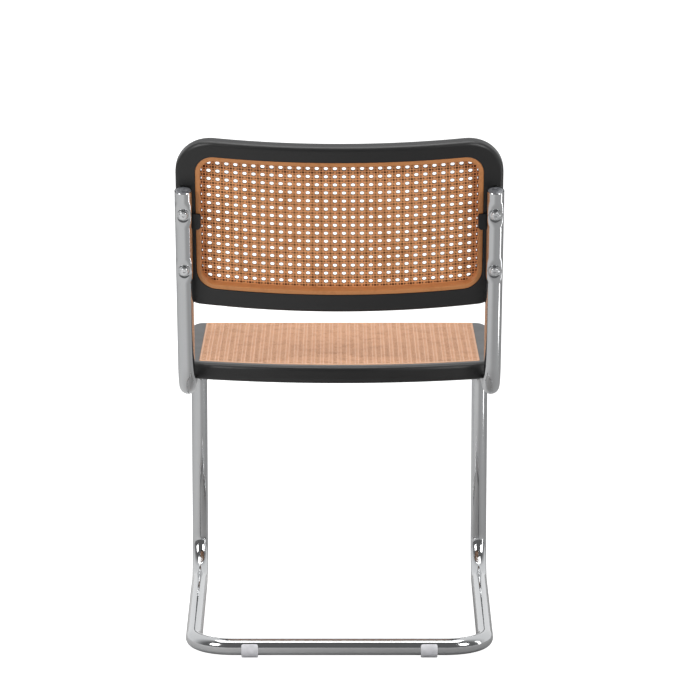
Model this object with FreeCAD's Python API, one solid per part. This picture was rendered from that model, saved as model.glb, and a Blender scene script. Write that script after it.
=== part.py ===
import FreeCAD, Part
import math
import os

# A cantilever dining chair: two bent steel side tubes and a telescoping floor bridge carry
# a bowed back frame and a seat frame of wood, each with a moulded cane-look panel let in.
# Millimetres. X runs to the side, -Y is the front, +Z is up. The origin lies on the floor,
# in the middle of the chair's footprint.

os.makedirs("parts", exist_ok=True)
Vector = FreeCAD.Vector

# Steel tubes
tube_diameter = 25.0
tube_wall = 1.4
slide_clearance = 0.1
bend_radius = 60.0

# Centre lines of the side tubes, where the straight runs would meet. The posts stand inside
# the back's width, and each lower corner stands inside the post by its own inset
post_inset = 11.5
knee_inset = 5.25
toe_inset = 4.9
heel_inset = 9.5
post_foot_y = 137.6
knee_y = -248.1
toe_y = -273.1
heel_y = 215.0
seat_run_height = 385.8
seat_tilt = -0.7
recline = 18.4
post_length = 326.8

# Floor bridge and glides
heel_return = 83.4
bridge_insertion = 22.0
bridge_neck = 5.0
glide_sole = 3.0
glide_width = 24.5
glide_foot_depth = 0.4
glide_wrap_rise = 7.0
glide_clearance = 0.05
joint_screw_diameter = 4.0
joint_screw_reach = 4.0
joint_screw_recess = 0.8
front_glide_y = -181.6
front_glide_diameter = 15.0
front_glide_stem_diameter = 8.0
front_glide_stem_length = 9.0
front_glide_rounding = 1.0

# Plugs in the post tops
cap_edge = 1.2
cap_dome = 2.4
cap_stem_length = 14.0
cap_clearance = 0.05
cap_room = 1.0

# Back frame
back_width = 473.0
back_height = 266.0
back_above_foot = 138.3
back_thickness = 22.0
back_bow_radius = 860.0
back_top_corner = 56.0
back_bottom_corner = 35.0
back_rounding = 7.0
top_rail_width = 22.7
post_nest = 1.5
groove_clearance = 0.1

# Cane-look panels: the pitch is that of half-inch cane webbing as moulded
stile_width = 28.5
back_panel_height = 213.0
panel_corner = 28.0
panel_clearance = 0.3
panel_rim = 7.0
mesh_thickness = 2.4
mesh_recess = 12.0
panel_ledge = 8.0
panel_flush = 0.3

# The sheets' many small holes, drawn as a plain grid of square openings with the same open share
opening_columns = 12
back_opening_rows = 6
seat_opening_rows = 12
opening_share = 0.5

# Seat frame
seat_overhang = 5.0
seat_border = 22.0
seat_thickness = 25.5
seat_rear_y = 29.0
seat_front_y = -408.5
seat_rear_bow_radius = 600.0
seat_front_bow_radius = 2400.0
seat_rear_corner = 48.0
seat_front_corner = 45.0
seat_rounding = 7.0
seat_fall_length = 35.0
seat_fall_radius = 75.0
seat_fall_sweep = 60.0
seat_rear_border = 18.2
seat_front_border = 16.7
seat_panel_corner = 6.0
seat_panel_depth = 7.0
seat_rear_joint_inset = 100.0
seat_front_joint_inset = 52.0
seat_tube_relief = 0.4

# Saddle pads between seat and tubes
pad_height = 1.5
pad_length = 26.0
pad_width = 20.0
pad_rear_y = -94.0
pad_front_y = -288.0
pad_clearance = 0.05

# Screws, inserts and dowels
back_screw_low = 202.6
back_screw_high = 293.1
back_screw_diameter = 6.0
back_screw_head_diameter = 12.3
back_screw_head_height = 3.6
back_screw_reach = 10.0
screw_hole_clearance = 0.25
screw_tip_chamfer = 1.0
head_rounding_share = 0.7
recess_span_share = 0.55
recess_width_share = 0.14
recess_depth_share = 0.6
insert_diameter = 9.0
insert_length = 12.0
insert_end_gap = 1.0
press_depth = 1.6
press_half_length = 9.0
press_ramp = 9.0
seat_screw_diameter = 5.0
seat_screw_head_diameter = 10.0
seat_screw_head_height = 2.8
seat_screw_reach = 15.0
back_dowel_diameter = 6.0
seat_dowel_diameter = 8.0
dowel_length = 32.0
dowel_end_gap = 0.5
dowel_clearance = 0.05
dowel_wall = 3.0
dowel_spread = 12.0

# Panel clips
clip_width = 11.0
clip_height = 25.0
clip_thickness = 3.0
clip_chamfer = 4.0
clip_overlap = 7.4
clip_leg_thickness = 2.2
clip_leg_length = 8.0
clip_leg_height = 15.0
clip_above_foot = 276.0
clip_slot_clearance = 0.05
clip_post_gap = 0.3

# Worked out from the sizes above
tube_radius = tube_diameter / 2
bore_radius = tube_radius - tube_wall
bridge_radius = bore_radius - slide_clearance
floor_run_height = glide_sole + tube_radius
seat_bottom = tube_radius + pad_height
seat_top = seat_bottom + seat_thickness
post_spacing = back_width - 2 * post_inset
knee_spacing = post_spacing - 2 * knee_inset
toe_spacing = post_spacing - 2 * toe_inset
heel_spacing = post_spacing - 2 * heel_inset
side_tube_end_x = heel_spacing / 2 - heel_return
seat_width = post_spacing + 2 * seat_overhang
seat_window_width = seat_width - 2 * seat_border
seat_panel_rear_y = seat_rear_y - seat_rear_border
seat_panel_front_y = seat_front_y + seat_front_border
seat_fall_start_y = seat_front_y + seat_fall_length
knee_height = seat_run_height + (post_foot_y - knee_y) * math.tan(math.radians(seat_tilt))
post_x = post_spacing / 2
bow_drop_at_post = back_bow_radius - math.sqrt(back_bow_radius ** 2 - post_x ** 2)
back_crown = bow_drop_at_post - tube_radius + post_nest
back_bottom = back_above_foot
back_top = back_bottom + back_height
window_height = back_panel_height + 2 * panel_clearance
window_width = back_width - 2 * stile_width
window_top = back_top - top_rail_width
window_bottom = window_top - window_height
window_middle = (window_top + window_bottom) / 2
rebate_depth = mesh_recess + mesh_thickness + panel_flush
window_corner = panel_corner + panel_clearance
top_joint = window_top - window_corner
side_joint = window_width / 2 - window_corner
rear_joint = seat_rear_y - seat_rear_joint_inset
front_joint = seat_front_y + seat_front_joint_inset
run_length = (post_foot_y - knee_y) / math.cos(math.radians(seat_tilt))

# Longer than the chair in every direction, and a hair for telling edges apart
far = 1000.0
hair = 0.01

# Placements: the back's own axes stand on the line of the posts, the seat's on the seat run
foot_point = Vector(0, post_foot_y, seat_run_height)
back_place = FreeCAD.Placement(foot_point, FreeCAD.Rotation(Vector(1, 0, 0), -recline))
seat_place = FreeCAD.Placement(foot_point, FreeCAD.Rotation(Vector(1, 0, 0), -seat_tilt))
to_the_rear = FreeCAD.Rotation(Vector(0, 0, 1), Vector(0, 1, 0))
upside_down = FreeCAD.Rotation(Vector(0, 0, 1), Vector(0, 0, -1))
SIDES = (("left", -1), ("right", 1))


def save(shape, node):
    """Write one sub-part to its own file."""
    shape.exportStep("parts/" + node + ".step")


def placed(shape, place):
    """The shape moved from its local axes to the chair's axes."""
    return shape.transformed(place.toMatrix(), True)


def group(solids):
    """Several separate solids that share one node."""
    return Part.makeCompound(solids)


def rod(radius, start, direction, length):
    """A round bar from a start point along a direction."""
    return Part.makeCylinder(radius, length, start, direction)


def block(x_range, y_range, z_range):
    """A box from three (low, high) ranges."""
    size = [high - low for low, high in (x_range, y_range, z_range)]
    return Part.makeBox(size[0], size[1], size[2], Vector(x_range[0], y_range[0], z_range[0]))


def side_tube_points(sign):
    """Corner points of one side tube's centre line, from the post's top to the floor bridge."""
    top = back_place.multVec(Vector(0, 0, post_length))
    return [Vector(sign * post_x, top.y, top.z),
            Vector(sign * post_x, post_foot_y, seat_run_height),
            Vector(sign * knee_spacing / 2, knee_y, knee_height),
            Vector(sign * toe_spacing / 2, toe_y, floor_run_height),
            Vector(sign * heel_spacing / 2, heel_y, floor_run_height),
            Vector(sign * side_tube_end_x, heel_y, floor_run_height)]


def bent_path(points, radius):
    """Straight runs joined by tangent arcs."""
    edges = []
    start = points[0]
    for before, corner, after in zip(points, points[1:], points[2:]):
        back_way = (before - corner).normalize()
        on_way = (after - corner).normalize()
        half_angle = back_way.getAngle(on_way) / 2
        setback = radius / math.tan(half_angle)
        arc_start = corner + back_way * setback
        arc_end = corner + on_way * setback
        bisector = (back_way + on_way).normalize()
        arc_middle = corner + bisector * (radius / math.sin(half_angle) - radius)
        edges.append(Part.LineSegment(start, arc_start).toShape())
        edges.append(Part.Arc(arc_start, arc_middle, arc_end).toShape())
        start = arc_end
    edges.append(Part.LineSegment(start, points[-1]).toShape())
    return Part.Wire(edges)


def side_bar(sign, radius):
    """A solid round bar along the centre line of one side tube."""
    points = side_tube_points(sign)
    path = bent_path(points, bend_radius)
    section = Part.Wire([Part.makeCircle(radius, points[0], (points[1] - points[0]).normalize())])
    return path.makePipeShell([section], True, False)


def press_cutter(sign, along):
    """What the press takes off a post's rear: a flat with a ramp at each end, across the tube."""
    flat = tube_radius - press_depth
    outer_half = press_half_length + press_ramp * (1 + tube_diameter / press_depth)
    side = sign * post_x - tube_diameter
    profile = [Vector(side, flat, along - press_half_length),
               Vector(side, flat, along + press_half_length),
               Vector(side, tube_radius + tube_diameter, along + outer_half),
               Vector(side, tube_radius + tube_diameter, along - outer_half)]
    cutter = Part.Face(Part.makePolygon(profile + profile[:1])).extrude(Vector(2 * tube_diameter, 0, 0))
    return placed(cutter, back_place)


def back_screw_holes(sign, radius):
    """The holes of the back screws through one post."""
    backward = Vector(0, 1, 0)
    holes = [rod(radius, Vector(sign * post_x, -tube_diameter, along), backward, 2 * tube_diameter)
             for along in (back_screw_low, back_screw_high)]
    return placed(group(holes), back_place)


def seat_run_x(sign, along):
    """Side position of the seat run's centre at a distance along the seat's own Y axis."""
    return sign * (post_x + (post_spacing - knee_spacing) / 2 * along / run_length)


def seat_screw_holes(sign, radius):
    """The holes of the seat screws up through one seat run."""
    up = Vector(0, 0, 1)
    holes = [rod(radius, Vector(seat_run_x(sign, along), along, -tube_diameter), up, 2 * tube_diameter)
             for along in (pad_rear_y, pad_front_y)]
    return placed(group(holes), seat_place)


def floor_run_x(sign, y):
    """Side position of the floor run's centre at a given Y."""
    share = (y - toe_y) / (heel_y - toe_y)
    return sign * (toe_spacing + (heel_spacing - toe_spacing) * share) / 2


def joint_screw_x(sign):
    """Side position of the screw that pins glide, side tube and bridge together."""
    return sign * (side_tube_end_x + glide_width / 4)


def side_tube(sign):
    """One side of the frame: post, seat run, leg, floor run and heel in one bent tube."""
    outside = side_bar(sign, tube_radius)
    inside = side_bar(sign, bore_radius)
    for along in (back_screw_low, back_screw_high):
        outside = outside.cut(press_cutter(sign, along))
        inside = inside.cut(press_cutter(sign, along))
    tube = outside.cut(inside)
    tube = tube.cut(back_screw_holes(sign, back_screw_diameter / 2 + screw_hole_clearance))
    tube = tube.cut(seat_screw_holes(sign, seat_screw_diameter / 2 + screw_hole_clearance))
    stem = rod(front_glide_stem_diameter / 2 + glide_clearance,
               Vector(floor_run_x(sign, front_glide_y), front_glide_y, 0), Vector(0, 0, 1), floor_run_height)
    pin = rod(joint_screw_diameter / 2 + glide_clearance,
              Vector(joint_screw_x(sign), heel_y, 0), Vector(0, 0, 1), floor_run_height)
    return tube.cut(stem).cut(pin)


def floor_rod(radius, half_length):
    """A round bar on the floor bridge's centre line."""
    return rod(radius, Vector(-half_length, heel_y, floor_run_height), Vector(1, 0, 0), 2 * half_length)


def floor_bridge():
    """The floor tube between the side tubes, its ends drawn down to slide into them."""
    half = side_tube_end_x + bridge_insertion
    tube = floor_rod(tube_radius, side_tube_end_x).fuse(floor_rod(bridge_radius, half))
    tube = tube.cut(floor_rod(bore_radius, side_tube_end_x - bridge_neck))
    tube = tube.cut(floor_rod(bridge_radius - tube_wall, half))
    for _, sign in SIDES:
        tube = tube.cut(rod(joint_screw_diameter / 2 + glide_clearance,
                            Vector(joint_screw_x(sign), heel_y, 0), Vector(0, 0, 1), floor_run_height))
    return tube


def rear_glide(sign):
    """A saddle of pale plastic under the joint of side tube and bridge."""
    outer = floor_run_height + glide_foot_depth
    start_x = sign * side_tube_end_x - glide_width / 2
    saddle = rod(outer, Vector(start_x, heel_y, floor_run_height), Vector(1, 0, 0), glide_width)
    keep = block((start_x, start_x + glide_width), (heel_y - outer, heel_y + outer),
                 (0, floor_run_height + glide_wrap_rise))
    saddle = saddle.common(keep).cut(floor_rod(tube_radius + glide_clearance, far))
    return saddle.cut(joint_screw(sign, glide_clearance))


def joint_screw(sign, clearance=0.0):
    """A countersunk screw up through glide, side tube and bridge."""
    radius = joint_screw_diameter / 2 + clearance
    x = joint_screw_x(sign)
    up = Vector(0, 0, 1)
    recess = joint_screw_recess
    head = Part.makeCone(2 * radius, radius, radius, Vector(x, heel_y, recess), up)
    length = glide_sole + 2 * tube_wall + joint_screw_reach
    shank = rod(radius, Vector(x, heel_y, recess), up, length)
    screw = head.fuse(shank)
    if clearance > 0:
        screw = screw.fuse(rod(2 * radius, Vector(x, heel_y, 0), up, recess))
    return screw.removeSplitter()


def front_glide(sign):
    """A button glide plugged into the underside of the floor run."""
    x = floor_run_x(sign, front_glide_y)
    up = Vector(0, 0, 1)
    head = rod(front_glide_diameter / 2, Vector(x, front_glide_y, 0), up, floor_run_height)
    head = rounded_edges(head, lambda edge: edge.BoundBox.ZMax < hair, front_glide_rounding)
    heel = Vector(sign * heel_spacing / 2, heel_y, floor_run_height)
    toe = Vector(sign * toe_spacing / 2, toe_y, floor_run_height)
    head = head.cut(rod(tube_radius + glide_clearance, toe, heel - toe, (heel - toe).Length))
    head = head.common(block((x - far, x + far), (-far, far), (0, floor_run_height - tube_radius / 2)))
    stem_foot = Vector(x, front_glide_y, glide_sole / 2)
    stem = rod(front_glide_stem_diameter / 2, stem_foot, up, front_glide_stem_length)
    return head.fuse(stem).removeSplitter()


def post_cap(sign):
    """A glossy plug in the open top of one post."""
    base = Vector(sign * post_x, 0, post_length)
    up = Vector(0, 0, 1)
    disc = rod(tube_radius, base, up, cap_edge)
    ball_radius = (tube_radius ** 2 + cap_dome ** 2) / (2 * cap_dome)
    ball = Part.makeSphere(ball_radius, base + Vector(0, 0, cap_edge + cap_dome - ball_radius))
    dome = rod(tube_radius, base + Vector(0, 0, cap_edge), up, cap_dome).common(ball)
    stem_radius = bore_radius - cap_clearance
    stem = rod(stem_radius, base, -up, cap_stem_length)
    hollow = rod(stem_radius - tube_wall, base - up * cap_stem_length, up, cap_stem_length - tube_wall)
    stem = stem.cut(hollow)
    return placed(disc.fuse([dome, stem]).removeSplitter(), back_place)


# Back frame and its panel. Local axes: X to the side, Y out of the rear face, Z up the posts

def bowed_sheet(outer_inset, inner_inset):
    """The space between two bowed surfaces, given by their depths below the rear face."""
    centre = Vector(0, back_crown - back_bow_radius, 0)
    up = Vector(0, 0, 1)
    outer = rod(back_bow_radius - outer_inset, centre, up, far)
    return outer.cut(rod(back_bow_radius - inner_inset, centre, up, far))


def bow_y(x, inset):
    """Local Y of the bowed surface at a side position and a depth below the rear face."""
    return back_crown - back_bow_radius + math.sqrt((back_bow_radius - inset) ** 2 - x ** 2)


def upright_outline(half_width, bottom, top, bottom_corner, top_corner):
    """A rounded rectangle in the local XZ plane, pushed through the back's whole depth."""
    points = [(half_width, bottom, bottom_corner), (half_width, top, top_corner),
              (-half_width, top, top_corner), (-half_width, bottom, bottom_corner)]
    return rounded_prism([Vector(x, -far / 2, z) for x, z, _ in points], [r for _, _, r in points],
                         Vector(0, far, 0))


def rounded_prism(corners, radii, push):
    """A closed outline with an arc at each corner, pushed along a vector."""
    edges = []
    count = len(corners)
    spans = []
    for index in range(count):
        corner = corners[index]
        before = (corners[index - 1] - corner).normalize()
        after = (corners[(index + 1) % count] - corner).normalize()
        half_angle = before.getAngle(after) / 2
        setback = radii[index] / math.tan(half_angle)
        bisector = (before + after).normalize()
        middle = corner + bisector * (radii[index] / math.sin(half_angle) - radii[index])
        spans.append((corner + before * setback, middle, corner + after * setback))
    for index in range(count):
        start, middle, end = spans[index]
        edges.append(Part.Arc(start, middle, end).toShape())
        edges.append(Part.LineSegment(end, spans[(index + 1) % count][0]).toShape())
    return Part.Face(Part.Wire(edges)).extrude(push)


def rounded_edges(solid, chosen, radius):
    """The solid with the chosen edges rounded."""
    return solid.makeFillet(radius, [edge for edge in solid.Edges if chosen(edge)])


def window_outline(inset):
    """The prism over the back's window, drawn in by an inset."""
    corner = window_corner - inset
    bottom, top = window_bottom + inset, window_top - inset
    return upright_outline(window_width / 2 - inset, bottom, top, corner, corner)


def back_blank():
    """The whole back frame before it is divided into rails and stiles."""
    outline = upright_outline(back_width / 2, back_bottom, back_top, back_bottom_corner, back_top_corner)
    blank = bowed_sheet(0, back_thickness).common(outline)
    blank = rounded_edges(blank, lambda edge: not through_thickness(edge), back_rounding)
    rebate = window_outline(0)
    blank = blank.cut(bowed_sheet(-back_thickness, rebate_depth).common(rebate))
    return blank.cut(window_outline(panel_ledge))


def through_thickness(edge):
    """Whether an edge runs from the front face to the rear face."""
    first, last = edge.firstVertex().Point, edge.lastVertex().Point
    level = abs(first.x - last.x) < hair and abs(first.z - last.z) < hair
    return level and first.distanceToPoint(last) > back_thickness / 2


def back_dowels(clearance=0.0):
    """Dowels that join the back's rails and stiles: upright at the top, level at the bottom."""
    radius = back_dowel_diameter / 2 + clearance
    half = dowel_length / 2 + (dowel_end_gap if clearance > 0 else 0)
    first = dowel_wall + back_dowel_diameter / 2
    dowels = []
    for _, sign in SIDES:
        for step in (first, first + dowel_spread):
            x = window_width / 2 + step
            start = Vector(sign * x, bow_y(x, back_thickness / 2), top_joint - half)
            dowels.append(rod(radius, start, Vector(0, 0, 1), 2 * half))
            depth = bow_y(side_joint, back_thickness / 2)
            start = Vector(sign * side_joint - half, depth, window_bottom - step)
            dowels.append(rod(radius, start, Vector(1, 0, 0), 2 * half))
    return dowels


def clip_slot_x(sign):
    """Side position of the middle of a clip's leg, just outside the panel's rebate."""
    return sign * (window_width / 2 + clip_leg_thickness)


def back_cutters():
    """Everything that the back frame has cut out of it: grooves, holes and slots."""
    cutters = back_dowels(dowel_clearance)
    for _, sign in SIDES:
        post_top = post_length + cap_edge + cap_dome + cap_room
        post_line = Vector(sign * post_x, 0, 0)
        cutters.append(rod(tube_radius + groove_clearance, post_line, Vector(0, 0, 1), post_top))
        depth = tube_radius + groove_clearance + insert_length + insert_end_gap
        for along in (back_screw_low, back_screw_high):
            start = Vector(sign * post_x, 0, along)
            cutters.append(rod(insert_diameter / 2 + dowel_clearance, start, Vector(0, -1, 0), depth))
        x = clip_slot_x(sign)
        half = clip_leg_thickness / 2 + clip_slot_clearance
        rise = clip_leg_height / 2 + clip_slot_clearance
        floor = bow_y(x, clip_leg_length + dowel_end_gap)
        cutters.append(block((x - half, x + half), (floor, floor + far / 2),
                             (clip_above_foot - rise, clip_above_foot + rise)))
    return cutters


def back_frame_parts():
    """Top rail, bottom rail and two stiles, cut from one blank so that they fit."""
    blank = back_blank()
    for cutter in back_cutters():
        blank = blank.cut(cutter)
    whole = (-far, far)
    top = blank.common(block(whole, whole, (top_joint, far)))
    bottom = blank.common(block((-side_joint, side_joint), whole, (0, window_middle)))
    parts = {"back_top_rail": top, "back_bottom_rail": bottom}
    for name, sign in SIDES:
        span = (min(0, sign * far), max(0, sign * far))
        stile = blank.common(block(span, whole, (0, top_joint)))
        parts["back_stile_" + name] = stile.cut(block((-side_joint, side_joint), whole, (0, window_middle)))
    return {node: placed(shape, back_place) for node, shape in parts.items()}


def spread(low, high, count):
    """The middles of equal steps between two places."""
    step = (high - low) / count
    return [low + (index + 0.5) * step for index in range(count)]


def back_openings():
    """The square openings through the back's sheet, inside its rim."""
    inset = panel_clearance + panel_rim
    half_width = window_width / 2 - inset
    half = opening_share * half_width / opening_columns
    openings = []
    for x in spread(-half_width, half_width, opening_columns):
        for z in spread(window_bottom + inset, window_top - inset, back_opening_rows):
            openings.append(block((x - half, x + half), (-far, far), (z - half, z + half)))
    return group(openings)


def back_panel():
    """The back's cane-look panel: a deep rim with the sheet at its front."""
    panel = bowed_sheet(panel_flush, rebate_depth).common(window_outline(panel_clearance))
    inner = window_outline(panel_clearance + panel_rim)
    panel = panel.cut(bowed_sheet(-back_thickness, mesh_recess + panel_flush).common(inner))
    return placed(panel.cut(back_openings()), back_place)


def panel_clips():
    """Two small black clips over the rim at the posts' inner sides."""
    clips = []
    for _, sign in SIDES:
        near = window_width / 2 - clip_overlap
        off = near + clip_width
        low = clip_above_foot - clip_height / 2
        high = low + clip_height
        corners = [(near, low + clip_chamfer), (near + clip_chamfer, low), (off, low), (off, high),
                   (near, high)]
        profile = [Vector(sign * x, -far / 2, z) for x, z in corners]
        plate = Part.Face(Part.makePolygon(profile + profile[:1])).extrude(Vector(0, far, 0))
        plate = plate.common(bowed_sheet(-clip_thickness, 0))
        post_line = Vector(sign * post_x, 0, 0)
        plate = plate.cut(rod(tube_radius + clip_post_gap, post_line, Vector(0, 0, 1), post_length))
        x = clip_slot_x(sign)
        half = clip_leg_thickness / 2
        rise = clip_leg_height / 2
        leg = block((x - half, x + half), (bow_y(x, clip_leg_length), bow_y(x, -clip_thickness / 2)),
                    (clip_above_foot - rise, clip_above_foot + rise))
        clips.append(plate.fuse(leg).removeSplitter())
    return placed(group(clips), back_place)


def cross_recess(head_diameter, depth):
    """A cross-shaped recess for a screwdriver, its mouth at the origin."""
    arm = head_diameter * recess_span_share
    width = head_diameter * recess_width_share
    bar = block((-arm / 2, arm / 2), (-width / 2, width / 2), (-depth, 0))
    return bar.fuse(block((-width / 2, width / 2), (-arm / 2, arm / 2), (-depth, 0)))


def pan_screw(diameter, head_diameter, head_height, length):
    """A pan-head screw: the head's underside at the origin, the shank along -Z."""
    up = Vector(0, 0, 1)
    head = rod(head_diameter / 2, Vector(0, 0, 0), up, head_height)
    head = rounded_edges(head, lambda edge: edge.BoundBox.ZMin > head_height - hair,
                         head_height * head_rounding_share)
    recess = cross_recess(head_diameter, head_height * recess_depth_share)
    recess.translate(Vector(0, 0, head_height))
    shank = rod(diameter / 2, Vector(0, 0, -length), up, length)
    tip = [edge for edge in shank.Edges if edge.BoundBox.ZMax < hair - length]
    shank = shank.makeChamfer(screw_tip_chamfer, tip)
    return head.cut(recess).fuse(shank)


def back_screws():
    """Four screws from behind through the posts into the stiles."""
    seat_y = tube_radius - press_depth
    length = seat_y + tube_radius + back_screw_reach
    screws = []
    for _, sign in SIDES:
        for along in (back_screw_low, back_screw_high):
            screw = pan_screw(back_screw_diameter, back_screw_head_diameter, back_screw_head_height, length)
            seat = Vector(sign * post_x, seat_y, along)
            screws.append(placed(screw, FreeCAD.Placement(seat, to_the_rear)))
    return placed(group(screws), back_place)


def back_inserts():
    """Threaded steel inserts in the stiles."""
    inserts = []
    for _, sign in SIDES:
        for along in (back_screw_low, back_screw_high):
            mouth = Vector(sign * post_x, -tube_radius - groove_clearance, along)
            body = rod(insert_diameter / 2, mouth, Vector(0, -1, 0), insert_length)
            bore = rod(back_screw_diameter / 2, mouth, Vector(0, -1, 0), insert_length)
            inserts.append(body.cut(bore))
    return placed(group(inserts), back_place)


# Seat frame and its panel. Local axes: X to the side, Y to the rear along the seat run, Z up

def arc_edge(start, end, radius, side):
    """An arc of a given radius between two points of a level outline, bulging to +Y or -Y."""
    chord = end - start
    half = chord.Length / 2
    rise = radius - math.sqrt(radius ** 2 - half ** 2)
    middle = (start + end) * 0.5
    across = Vector(-chord.y, chord.x, 0).normalize()
    if across.y * side < 0:
        across = across * -1
    return Part.Arc(start, middle + across * rise, end).toShape()


def bowed_plate(half_width, rear, front):
    """A tall prism over a bowed outline; rear and front are each (y, bow radius, corner radius)."""
    rear_y, rear_radius, rear_corner = rear
    front_y, front_radius, front_corner = front
    rear_drop = rear_radius - math.sqrt(rear_radius ** 2 - half_width ** 2)
    front_drop = front_radius - math.sqrt(front_radius ** 2 - half_width ** 2)
    points = [Vector(half_width, rear_y - rear_drop, 0), Vector(-half_width, rear_y - rear_drop, 0),
              Vector(-half_width, front_y + front_drop, 0), Vector(half_width, front_y + front_drop, 0)]
    edges = [arc_edge(points[0], points[1], rear_radius, 1),
             Part.LineSegment(points[1], points[2]).toShape(),
             arc_edge(points[2], points[3], front_radius, -1),
             Part.LineSegment(points[3], points[0]).toShape()]
    prism = Part.Face(Part.Wire(edges)).extrude(Vector(0, 0, far))
    prism.translate(Vector(0, 0, -far / 2))
    prism = rounded_edges(prism, lambda edge: stands_at(edge, rear_y - rear_drop), rear_corner)
    return rounded_edges(prism, lambda edge: stands_at(edge, front_y + front_drop), front_corner)


def stands_at(edge, y):
    """Whether an edge stands upright at a given Y."""
    box = edge.BoundBox
    return box.ZLength > far / 2 and abs(box.YMin - y) < hair


def seat_slab(top_inset, bottom_inset):
    """The space between two surfaces below the seat's top, level and then falling at the front."""
    top = seat_top - top_inset
    bottom = seat_top - bottom_inset
    start = seat_fall_start_y
    centre_z = seat_top - seat_fall_radius
    reach = math.radians(seat_fall_sweep)
    upper, lower = top - centre_z, bottom - centre_z

    def on_fall(radius, angle):
        return Vector(-far / 2, start - radius * math.sin(angle), centre_z + radius * math.cos(angle))

    rear_low, rear_high = Vector(-far / 2, far / 2, bottom), Vector(-far / 2, far / 2, top)
    edges = [Part.LineSegment(rear_low, rear_high).toShape(),
             Part.LineSegment(rear_high, on_fall(upper, 0)).toShape(),
             Part.Arc(on_fall(upper, 0), on_fall(upper, reach / 2), on_fall(upper, reach)).toShape(),
             Part.LineSegment(on_fall(upper, reach), on_fall(lower, reach)).toShape(),
             Part.Arc(on_fall(lower, reach), on_fall(lower, reach / 2), on_fall(lower, 0)).toShape(),
             Part.LineSegment(on_fall(lower, 0), rear_low).toShape()]
    return Part.Face(Part.Wire(edges)).extrude(Vector(far, 0, 0))


def panel_plate(inset):
    """The tall prism over the seat's window, drawn in by an inset."""
    rear = (seat_panel_rear_y - inset, seat_rear_bow_radius - inset, seat_panel_corner)
    front = (seat_panel_front_y + inset, seat_front_bow_radius, seat_panel_corner)
    return bowed_plate(seat_window_width / 2 - inset, rear, front)


def seat_blank():
    """The whole seat frame before it is divided into rails."""
    plate = bowed_plate(seat_width / 2, (seat_rear_y, seat_rear_bow_radius, seat_rear_corner),
                        (seat_front_y, seat_front_bow_radius, seat_front_corner))
    blank = seat_slab(0, seat_thickness).common(plate)
    blank = rounded_edges(blank, on_seat_rim, seat_rounding)
    blank = blank.cut(seat_slab(-seat_thickness, seat_panel_depth).common(panel_plate(0)))
    return blank.cut(panel_plate(panel_ledge))


def on_seat_rim(edge):
    """Whether an edge of the seat blank runs round its top or its bottom."""
    first, last = edge.firstVertex().Point, edge.lastVertex().Point
    box = edge.BoundBox
    upright = abs(first.x - last.x) < hair and abs(first.z - last.z) > seat_thickness / 2
    across = abs(box.YMin - seat_fall_start_y) < hair and abs(box.YMax - seat_fall_start_y) < hair
    return not upright and not across


def seat_dowels(clearance=0.0):
    """Dowels that join the seat's side rails to its cross rails."""
    radius = seat_dowel_diameter / 2 + clearance
    half = dowel_length / 2 + (dowel_end_gap if clearance > 0 else 0)
    height = seat_bottom + (seat_thickness - seat_panel_depth) / 2
    first = seat_window_width / 2 - panel_ledge + dowel_wall + seat_dowel_diameter / 2
    dowels = []
    for _, sign in SIDES:
        for y in (rear_joint, front_joint):
            for x in (first, first + dowel_spread):
                start = Vector(sign * x, y - half, height)
                dowels.append(rod(radius, start, Vector(0, 1, 0), 2 * half))
    return dowels


def seat_frame_parts():
    """Front, rear and side rails of the seat, cut from one blank so that they fit."""
    blank = seat_blank()
    for cutter in seat_dowels(dowel_clearance):
        blank = blank.cut(cutter)
    hole_top = seat_bottom + seat_screw_reach
    for _, sign in SIDES:
        for along in (pad_rear_y, pad_front_y):
            foot = Vector(seat_run_x(sign, along), along, 0)
            blank = blank.cut(rod(seat_screw_diameter / 2, foot, Vector(0, 0, 1), hole_top))
    whole = (-far, far)
    parts = {"seat_rear_rail": blank.common(block(whole, (rear_joint, far), whole)),
             "seat_front_rail": blank.common(block(whole, (-far, front_joint), whole))}
    for name, sign in SIDES:
        span = (min(0, sign * far), max(0, sign * far))
        parts["seat_side_rail_" + name] = blank.common(block(span, (front_joint, rear_joint), whole))
    parts = {node: placed(shape, seat_place) for node, shape in parts.items()}
    for _, sign in SIDES:
        parts["seat_rear_rail"] = parts["seat_rear_rail"].cut(side_bar(sign, tube_radius + seat_tube_relief))
    return parts


def seat_openings():
    """The square openings through the seat's sheet, their rows spread between the bowed ends."""
    inset = panel_clearance + panel_rim
    half_width = seat_window_width / 2 - inset
    half = opening_share * half_width / opening_columns
    openings = []
    for x in spread(-half_width, half_width, opening_columns):
        rear_drop = seat_rear_bow_radius - math.sqrt((seat_rear_bow_radius - inset) ** 2 - x ** 2)
        front_drop = seat_front_bow_radius - math.sqrt(seat_front_bow_radius ** 2 - x ** 2) + inset
        rear, front = seat_panel_rear_y - rear_drop, seat_panel_front_y + front_drop
        for y in spread(front, rear, seat_opening_rows):
            openings.append(block((x - half, x + half), (y - half, y + half), (-far, far)))
    return group(openings)


def seat_panel():
    """The seat's cane-look panel: the sheet at the top of a shallow rim."""
    panel = seat_slab(-panel_flush, seat_panel_depth).common(panel_plate(panel_clearance))
    under = seat_slab(-panel_flush + mesh_thickness, 2 * seat_thickness)
    panel = panel.cut(under.common(panel_plate(panel_clearance + panel_rim)))
    return placed(panel.cut(seat_openings()), seat_place)


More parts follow.
